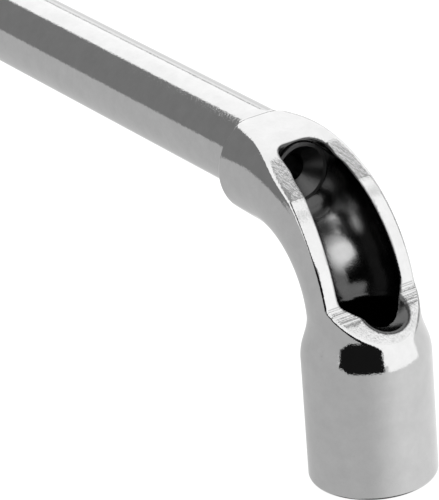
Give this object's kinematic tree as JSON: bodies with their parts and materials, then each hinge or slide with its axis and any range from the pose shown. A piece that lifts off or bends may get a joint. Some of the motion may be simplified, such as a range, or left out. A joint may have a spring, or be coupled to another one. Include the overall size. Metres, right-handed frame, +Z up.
{
  "type": "lug wrench",
  "caption": "Right-angle lug wrench: chromed elbow socket with a window milled through the outside of its bend, round shank and straight hexagon socket at the far end.",
  "frame": {"origin": "centre of the bent socket's mouth, on that socket's axis", "axes": "+Z up the bent socket's axis from its mouth, +X along the shank towards the straight socket, Y across the symmetry plane"},
  "size_m": [0.25, 0.027, 0.0745],
  "materials": {
    "head_chrome": "bright chrome over a forged and polished elbow, with coarse milling marks on the window's ramp",
    "shank_chrome": "bright chrome over a drawn and lengthwise polished bar",
    "socket_chrome": "bright chrome over a turned and polished socket",
    "weld_chrome": "ground weld fillet under chrome, slightly duller than the bar"
  },
  "bodies": {
    "root": {"bent_head": "head_chrome", "shank": "shank_chrome", "straight_socket": "socket_chrome", "head_weld": "weld_chrome", "socket_weld": "weld_chrome"}
  },
  "joints": []
}
